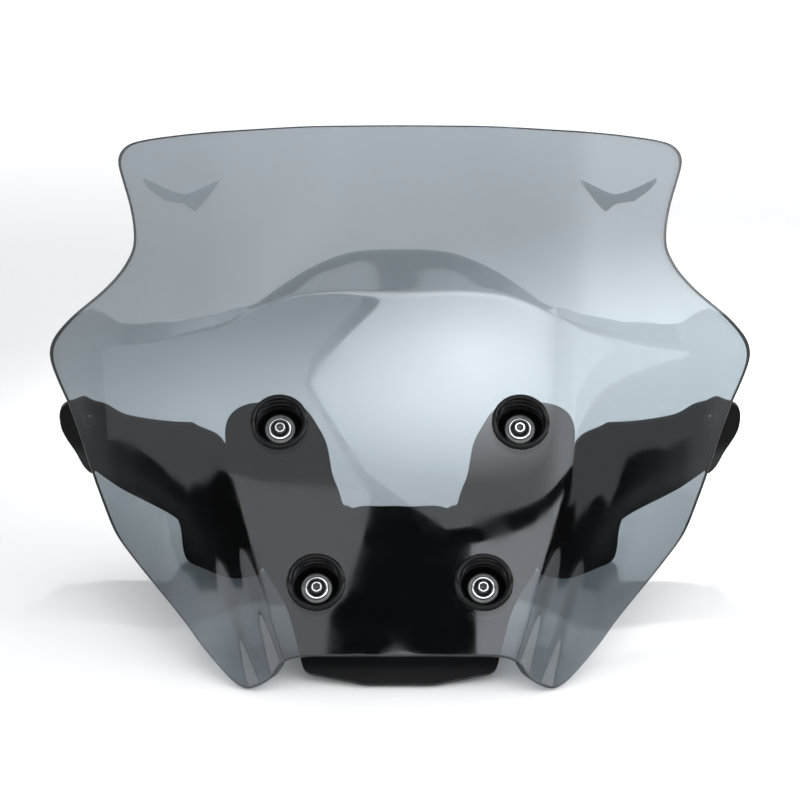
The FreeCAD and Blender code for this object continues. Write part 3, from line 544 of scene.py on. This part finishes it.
        ar = 0.5 * np.sum(L[:, 0] * np.roll(L[:, 1], -1) - np.roll(L[:, 0], -1) * L[:, 1])
        hole = L is not loops[0][0]
        flip = (ar > 0) ^ hole
        for kk, (r0, r1) in enumerate(zip(rows[:-1], rows[1:])):
            for i in range(n):
                j = (i + 1) % n
                q = (r0[i], r1[i], r1[j], r0[j]) if flip else (r0[i], r0[j], r1[j], r1[i])
                faces.append(q)
                fm.append(1 if 3 <= kk <= 7 else 0)
    V = world_of(np.vstack(verts))
    N = np.vstack(norms)
    N = N[:, :1] * np.array([1.0, 0, 0]) + N[:, 1:2] * WV + N[:, 2:3] * NV
    N /= np.linalg.norm(N, axis=1, keepdims=True)
    ob = new_mesh("windscreen_sheet", V, faces, [M_SHEET, M_EDGE], fm, normals=N)
    # the steep walls of the fold hold more tint along the line of sight
    A = np.vstack([np.vstack([ov, ov])] + flat_xw)
    X, W = A[:, 0], A[:, 1]
    slope = np.abs((screen_d(X + 0.5, W, False) - screen_d(X - 0.5, W, False))) * (W < 138)
    fold = np.clip((slope - 0.22) / 0.75, 0, 1)
    at = ob.data.attributes.new("fold", "FLOAT", "POINT")
    at.data.foreach_set("value", fold.astype(np.float32))
    return ob


screen = build_screen()
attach(screen, "screen_carrier")
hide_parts("windscreen")


# ---------------------------------------------------------------------------
# cups, washers and screws, turned about each fixing's axis
# ---------------------------------------------------------------------------
def soften(prof, r=0.35, n=3):
    """Round every corner of an (r, d) profile by a small radius."""
    out = [prof[0]]
    for p0, p1, p2 in zip(prof[:-2], prof[1:-1], prof[2:]):
        a, b, c = np.array(p0, float), np.array(p1, float), np.array(p2, float)
        u, v = a - b, c - b
        lu, lv = np.linalg.norm(u), np.linalg.norm(v)
        k = min(r, 0.45 * lu, 0.45 * lv)
        s0, s1 = b + u / lu * k, b + v / lv * k
        for i in range(n + 1):
            t = i / n
            out.append(tuple((1 - t) ** 2 * s0 + 2 * t * (1 - t) * b + t * t * s1))
    out.append(prof[-1])
    return out


def turned(name, profile, mat, node_name, seg=72, closed=False, socket=None, dark=None, painted_dark_bands=()):
    """One mesh with the profile turned about all four fixings."""
    verts, faces, smooth, fmat = [], [], [], []
    th = np.arange(seg) * 2 * math.pi / seg
    for cx, cw in CUPS:
        rows = []
        for r, d in profile:
            rows.append((np.full(seg, r), np.full(seg, d)))
        nsm = len(rows)
        if socket:
            af, d_top, d_low = socket
            rh = (af / 2) / np.cos((th + math.pi / 6) % (math.pi / 3) - math.pi / 6)
            rows.append((rh + 0.12, np.full(seg, d_top)))
            rows.append((rh, np.full(seg, d_top - 0.12)))
            rows.append((rh, np.full(seg, d_low)))
            rows.append((rh * 0.05, np.full(seg, d_low - 0.5)))
        base = len(verts)
        for r, d in rows:
            verts.extend(np.stack([cx + r * np.cos(th), cw + r * np.sin(th), d], 1))
        m = len(rows)
        for i in range(m if closed else m - 1):
            for j in range(seg):
                k = (j + 1) % seg
                i2 = (i + 1) % m
                faces.append((base + i * seg + j, base + i2 * seg + j, base + i2 * seg + k, base + i * seg + k))
                smooth.append(i < nsm - 1 or not socket)
                rm = 0.5 * (profile[i][0] + profile[i + 1][0]) if i + 1 < len(profile) else 0.0
                low = i + 1 >= len(profile) and i > nsm
                # socket faces and faces in the given radius bands take the darker material: painted shade and painted
                # dark reflection on the screw head
                fmat.append(1 if dark is not None and (low or any(p <= rm <= q for p, q in painted_dark_bands)) else 0)
    ob = new_mesh(name, world_of(np.array(verts)), faces, [mat] if dark is None else [mat, dark], fmat)
    ob.data.polygons.foreach_set("use_smooth", smooth)
    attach(ob, "screen_carrier")
    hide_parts(node_name)
    return ob


CF = -13.4
bowl = [(4.6, CF), (9.2, CF), (9.9, CF + 0.3), (10.6, CF + 1.1), (11.1, CF + 2.2), (11.6, CF + 4.0), (12.1, CF + 6.4), (12.6, CF + 8.8), (13.05, CF + 10.8)]
cup_prof = soften([(4.6, -16.0), (13.8, -16.0), (14.4, -15.4), (14.6, -6.8), (15.6, -6.4), (16.4, -5.4), (16.4, -4.1), (14.7, -4.1), (14.7, 0.1),
                   (16.75, 0.1), (16.75, 1.1), (16.2, 1.9), (15.5, 2.2), (14.8, 2.2), (14.1, 1.7), (13.7, 0.9), (13.4, -1.5)]
                  + bowl[::-1], 0.3)
turned("grommet_cups_turned", cup_prof, M_RUBBER, "grommet_cups", closed=True)
turned("cup_washers_turned", soften([(3.2, CF), (9.0, CF), (9.0, CF + 1.3), (8.6, CF + 1.6), (3.2, CF + 1.6), (3.2, CF)], 0.2)[:-1], M_WASHER,
       "cup_washers", closed=True)
HS = CF + 1.6
# the screw head is nickel; its socket, its groove and a ring on the dome are painted dark (painted shade and painted
# dark reflection)
turned("screen_screws_turned", soften([(0.05, HS - 15.6), (2.5, HS - 15.6), (3.0, HS - 15.1), (3.0, HS), (6.8, HS), (6.8, HS + 0.7), (6.45, HS + 1.1), (5.75, HS + 1.2),
                                       (5.55, HS + 0.95), (4.95, HS + 1.05), (4.8, HS + 1.9), (4.2, HS + 2.7), (3.3, HS + 3.2), (2.75, HS + 3.3), (2.6, HS + 3.3)], 0.12),
       M_SCREW, "screen_screws", socket=(4.0, HS + 3.3, HS + 1.2), dark=M_SCREW_PAINTED_DARK, painted_dark_bands=((2.95, 4.1), (4.55, 5.7)))


# ---------------------------------------------------------------------------
# floor, world, lights, camera
# ---------------------------------------------------------------------------
def build_floor():
    m, nt, out = mat_new("studio_floor")
    p = node(nt, "ShaderNodeBsdfPrincipled")
    v = coords(nt)
    nz = noise(nt, v, 3.0, 3.0)
    nt.links.new(mix_rgb(nt, ramp(nt, nz.outputs["Fac"], 0, 1), (0.93, 0.93, 0.93), (0.95, 0.95, 0.95)), p.inputs["Base Color"])
    p.inputs["Roughness"].default_value = 0.75
    p.inputs["Specular IOR Level"].default_value = 0.25
    # painted light: the floor itself glows, rising softly far behind the part, standing in for light falling on the far
    # floor
    sy = node(nt, "ShaderNodeSeparateXYZ")
    nt.links.new(v, sy.inputs[0])
    painted_floor_glow = node(nt, "ShaderNodeMapRange")
    painted_floor_glow.interpolation_type = "SMOOTHSTEP"
    painted_floor_glow.inputs["From Min"].default_value = 0.42
    painted_floor_glow.inputs["From Max"].default_value = 1.05
    painted_floor_glow.inputs["To Max"].default_value = 0.50
    nt.links.new(sy.outputs["Y"], painted_floor_glow.inputs["Value"])
    p.inputs["Emission Color"].default_value = (1.0, 1.0, 1.0, 1)
    nt.links.new(painted_floor_glow.outputs["Result"], p.inputs["Emission Strength"])
    nt.links.new(p.outputs[0], out.inputs["Surface"])
    s = 12.0
    ob = new_mesh("studio_floor", [(-s, -s, 0), (s, -s, 0), (s, s, 0), (-s, s, 0)], [(0, 1, 2, 3)], [m], smooth=False)


build_floor()


WORLD = 1.0


def build_world():
    """Studio surround by direction: pale walls, brighter to the right, a dark gap below the ceiling cards."""
    w = bpy.data.worlds.new("studio")
    bpy.context.scene.world = w
    w.use_nodes = True
    nt = w.node_tree
    for n in list(nt.nodes):
        nt.nodes.remove(n)
    out = nt.nodes.new("ShaderNodeOutputWorld")
    bg = nt.nodes.new("ShaderNodeBackground")
    tc = nt.nodes.new("ShaderNodeTexCoord")
    sep = nt.nodes.new("ShaderNodeSeparateXYZ")
    nt.links.new(tc.outputs["Generated"], sep.inputs[0])

    def by_height(stops):
        cr = nt.nodes.new("ShaderNodeValToRGB")
        cr.color_ramp.interpolation = "EASE"
        e = cr.color_ramp.elements
        top = max(v for _, v in stops)
        e[0].position, e[0].color = stops[0][0], (stops[0][1] / top,) * 3 + (1,)
        e[1].position, e[1].color = stops[-1][0], (stops[-1][1] / top,) * 3 + (1,)
        for p0, c0 in stops[1:-1]:
            k = e.new(p0)
            k.color = (c0 / top,) * 3 + (1,)
        nt.links.new(sep.outputs["Z"], cr.inputs[0])
        m = nt.nodes.new("ShaderNodeMath")
        m.operation = "MULTIPLY"
        m.inputs[1].default_value = top
        nt.links.new(cr.outputs[0], m.inputs[0])
        return m.outputs[0]

    def span(out_socket, lo, hi):
        m = nt.nodes.new("ShaderNodeMapRange")
        m.interpolation_type = "SMOOTHSTEP"
        m.inputs["From Min"].default_value = lo
        m.inputs["From Max"].default_value = hi
        nt.links.new(out_socket, m.inputs["Value"])
        return m.outputs["Result"]

    def blend(fac, p, q):
        m = nt.nodes.new("ShaderNodeMix")
        m.data_type = "FLOAT"
        nt.links.new(fac, m.inputs["Factor"])
        nt.links.new(p, m.inputs["A"])
        nt.links.new(q, m.inputs["B"])
        return m.outputs["Result"]

    mid = by_height([(0.0, 1.3), (0.40, 1.2), (0.60, 0.8), (0.70, 0.7), (0.80, 0.4), (0.88, 0.05), (1.0, 0.03)])
    left = by_height([(0.0, 1.2), (0.40, 0.9), (0.52, 0.5), (0.60, 0.25), (0.70, 0.12), (0.80, 0.05), (1.0, 0.03)])
    right = by_height([(0.0, 1.3), (0.40, 1.2), (0.52, 0.8), (0.60, 0.35), (0.70, 0.15), (0.80, 0.05), (1.0, 0.03)])
    back = by_height([(0.0, 0.9), (0.5, 0.75), (1.0, 0.3)])
    front = blend(span(sep.outputs["X"], -0.12, -0.45), mid, left)
    front = blend(span(sep.outputs["X"], 0.12, 0.45), front, right)
    allr = blend(span(sep.outputs["Y"], 0.05, 0.45), front, back)
    nt.links.new(allr, bg.inputs["Strength"])
    bg.inputs["Color"].default_value = (0.985, 0.99, 1.0, 1)
    nt.links.new(bg.outputs[0], out.inputs[0])


build_world()


def ceiling_card(name, pts_mm, z, strength, hot=None, hot_gain=0.0, hot_r=(0.2, 0.2), across=None, side=None):
    """Emissive studio card lying level above the part, seen as a reflection in the sheet."""
    m, nt, out = mat_new(name + "_light")
    em = node(nt, "ShaderNodeEmission")
    em.inputs["Color"].default_value = (0.98, 0.99, 1.015, 1)
    if hot:
        tc = node(nt, "ShaderNodeTexCoord")
        mp = node(nt, "ShaderNodeMapping", vector_type="POINT")
        mp.inputs["Scale"].default_value = (1 / hot_r[0], 1 / hot_r[1], 1.0)
        mp.inputs["Location"].default_value = (-hot[0] / hot_r[0], -hot[1] / hot_r[1], -z)
        nt.links.new(tc.outputs["Object"], mp.inputs["Vector"])
        g = node(nt, "ShaderNodeTexGradient", gradient_type="SPHERICAL")
        nt.links.new(mp.outputs["Vector"], g.inputs["Vector"])
        ma = node(nt, "ShaderNodeMath", operation="MULTIPLY_ADD")
        ma.inputs[1].default_value = hot_gain
        ma.inputs[2].default_value = strength
        nt.links.new(g.outputs["Fac"], ma.inputs[0])
        level = ma.outputs[0]
        if side:
            # extra strength blended in between two X positions
            sx = node(nt, "ShaderNodeSeparateXYZ")
            nt.links.new(tc.outputs["Object"], sx.inputs[0])
            mr = node(nt, "ShaderNodeMapRange", interpolation_type="SMOOTHSTEP")
            mr.inputs["From Min"].default_value = side[0]
            mr.inputs["From Max"].default_value = side[1]
            mr.inputs["To Max"].default_value = side[2]
            nt.links.new(sx.outputs["X"], mr.inputs["Value"])
            ad = node(nt, "ShaderNodeMath", operation="ADD")
            nt.links.new(level, ad.inputs[0])
            nt.links.new(mr.outputs["Result"], ad.inputs[1])
            level = ad.outputs[0]
        nt.links.new(level, em.inputs["Strength"])
    elif across:
        # brightness varies along X: (x in metres, strength)
        tc = node(nt, "ShaderNodeTexCoord")
        sx = node(nt, "ShaderNodeSeparateXYZ")
        nt.links.new(tc.outputs["Object"], sx.inputs[0])
        lo, hi = across[0][0], across[-1][0]
        mr = node(nt, "ShaderNodeMapRange")
        mr.inputs["From Min"].default_value = lo
        mr.inputs["From Max"].default_value = hi
        nt.links.new(sx.outputs["X"], mr.inputs["Value"])
        cr = node(nt, "ShaderNodeValToRGB")
        cr.color_ramp.interpolation = "EASE"
        e = cr.color_ramp.elements
        top = max(v for _, v in across)
        e[0].position, e[0].color = 0.0, (across[0][1] / top,) * 3 + (1,)
        e[1].position, e[1].color = 1.0, (across[-1][1] / top,) * 3 + (1,)
        for p0, c0 in across[1:-1]:
            k = e.new((p0 - lo) / (hi - lo))
            k.color = (c0 / top,) * 3 + (1,)
        nt.links.new(mr.outputs["Result"], cr.inputs[0])
        ma = node(nt, "ShaderNodeMath", operation="MULTIPLY")
        ma.inputs[1].default_value = top
        nt.links.new(cr.outputs[0], ma.inputs[0])
        nt.links.new(ma.outputs[0], em.inputs["Strength"])
    else:
        em.inputs["Strength"].default_value = strength
    nt.links.new(em.outputs[0], out.inputs["Surface"])
    pts = [(x * MM, y * MM, z) for x, y in pts_mm]
    ob = new_mesh(name, pts, [tuple(range(len(pts)))], [m], smooth=False)
    ob.visible_camera = False
    ob.visible_shadow = False
    return ob


ceiling_card("octabox", [(-29, -521), (-72, -566), (-103, -600), (-114, -622), (-96, -658), (-74, -695), (-42, -748), (0, -781), (60, -824), (92, -820),
                         (132, -803), (184, -787), (290, -765), (534, -716), (534, -430), (40, -430)],
             1.80, 1.5, hot=(0.085, -0.580), hot_gain=7.0, hot_r=(0.26, 0.18), side=(0.15, 0.42, 1.7))
ceiling_card("ceiling_right", [(534, -668), (594, -614), (756, -566), (934, -513), (1242, -431), (1576, -330), (1952, -201), (2389, -32), (2860, 168),
                               (2880, 2600), (2200, 600), (534, -300)], 1.80, 3.7)
ceiling_card("right_strip", [(534, -716), (594, -662), (756, -614), (934, -561), (1242, -479), (1576, -378), (1952, -249), (2389, -80), (2860, 120),
                             (2860, 168), (2389, -32), (1952, -201), (1576, -330), (1242, -431), (934, -513), (756, -566), (594, -614), (534, -668)], 1.80, 2.7)
ceiling_card("ceiling_left", [(-24, -490), (-108, -585), (-122, -622), (-104, -660), (-82, -700), (-56, -750), (-40, -772), (-700, -715), (-940, -700),
                              (-1146, -668), (-1427, -589), (-1925, -416), (-2750, -110), (-2860, 120), (-2860, 500), (-24, -120)], 1.80, 0.95)
ceiling_card("ceiling_left_low", [(-40, -772), (-38, -794), (-53, -862), (-69, -920), (-92, -949), (-95, -1005), (-100, -1080), (-146, -1080), (-146, -1039),
                                  (-153, -1010), (-164, -972), (-177, -935), (-197, -898), (-231, -861), (-285, -823), (-362, -784), (-456, -744),
                                  (-530, -730)], 1.80, 1.65)
ceiling_card("right_fringe", [(534, -716), (594, -662), (756, -614), (934, -561), (1242, -479), (1576, -378), (1952, -249), (2389, -80), (2860, 120),
                              (2880, -50), (2134, -345), (1370, -572), (1207, -655), (1100, -696), (820, -740), (534, -800)], 1.80, 0.8)
ceiling_card("back_card", [(-2200, 700), (2200, 700), (2200, 2600), (-2200, 2600)], 1.70, 0.45)
ceiling_card("card_low_right", [(92, -846), (150, -829), (205, -808), (300, -787), (415, -762), (362, -784), (285, -823), (231, -861), (197, -898),
                                (177, -935), (164, -972), (153, -1010), (146, -1039), (146, -1080), (104, -1080), (101, -1002), (100, -946),
                                (92, -862)], 1.80, 3.3)
FLANK = [(158, -975), (198, -905), (560, -893), (963, -848), (1150, -795), (1300, -760), (1430, -700), (1520, -630), (1649, -605), (1820, -530),
         (2477, -310), (2724, -240),
         (2700, -540), (2550, -590), (2400, -640), (2100, -745), (1800, -835), (1500, -870), (1200, -940), (900, -990), (600, -1025), (450, -1050),
         (250, -1070), (152, -1045)]
ceiling_card("flank_right", FLANK, 1.80, 1.0, across=((0.15, 1.5), (0.4, 1.5), (0.7, 1.1), (0.96, 0.7), (1.5, 0.5), (2.73, 0.1)))
ceiling_card("flank_left", [(-x, y) for x, y in FLANK], 1.80, 1.0,
             across=((-2.73, 0.1), (-1.8, 0.4), (-1.2, 1.4), (-0.8, 1.9), (-0.4, 1.5), (-0.15, 1.3)))

ceiling_card("lip_card", [(-7200, 600), (-6300, 280), (-5600, 100), (-5000, -60), (-4200, -400), (-3600, -480), (-3000, -480), (-2550, -600),
                          (-2400, -650), (-2250, -705), (-2100, -755), (-1950, -800), (-1800, -845), (-1500, -880), (-1200, -950), (-1050, -970),
                          (-900, -1000), (-600, -1035), (-450, -1060), (-250, -1080), (0, -1000), (250, -1080), (450, -1060), (600, -1035),
                          (900, -1000), (1050, -970), (1200, -950), (1500, -880), (1800, -845), (1950, -800), (2100, -755), (2250, -705),
                          (2400, -650), (2550, -600), (3000, -480), (3600, -480), (4200, -400), (5000, -60), (5600, 100), (6300, 280), (7200, 600),
                          (7200, -500), (5600, -900), (3600, -1400), (2400, -1700), (1500, -1780), (0, -1720), (-1500, -1780), (-2400, -1700),
                          (-3600, -1400), (-5600, -900), (-7200, -500)], 1.80, 4.0,
             across=((-3.2, 2.4), (-1.0, 2.6), (-0.4, 3.0), (0.0, 3.2), (0.4, 3.6), (1.0, 4.9), (3.2, 4.9)))

# two soft spots that lift the floor behind the part
def floor_spot(name, energy, deg, stretch, loc, aim):
    sp = bpy.data.lights.new(name, "SPOT")
    sp.energy = energy
    sp.spot_size = math.radians(deg)
    sp.spot_blend = 1.0
    sp.shadow_soft_size = 0.09
    ob = bpy.data.objects.new(name, sp)
    ob.location = loc
    ob.scale = (stretch, 1.0, 1.0)
    ob.rotation_mode = "QUATERNION"
    ob.rotation_quaternion = (Vector(aim) - ob.location).to_track_quat("-Z", "Y")
    bpy.context.scene.collection.objects.link(ob)


floor_spot("floor_lift", 205.0, 11.5, 2.0, (0.15, 1.15, 1.45), (0.035, 0.165, 0.0))
floor_spot("floor_lift_right", 230.0, 8.5, 1.6, (0.45, 1.25, 1.45), (0.225, 0.350, 0.0))

cam_d = bpy.data.cameras.new("camera")
cam_d.sensor_width = 36.0
cam_d.lens = 116.38
cam_d.clip_start, cam_d.clip_end = 0.05, 60.0
cam = bpy.data.objects.new("camera", cam_d)
EL = math.radians(27.0)
TGT = np.array([0.0, PY + 159.0 * math.sin(LEAN), PZ + 159.0 * math.cos(LEAN)]) * MM
DIR = np.array([0.0, math.cos(EL), -math.sin(EL)])
LOC = TGT - DIR * 1.5
cam.location = tuple(LOC)
cam.rotation_mode = "QUATERNION"
cam.rotation_quaternion = Vector(tuple(DIR)).to_track_quat("-Z", "Y")
bpy.context.scene.collection.objects.link(cam)
bpy.context.scene.camera = cam
bpy.context.scene.view_settings.view_transform = "Standard"
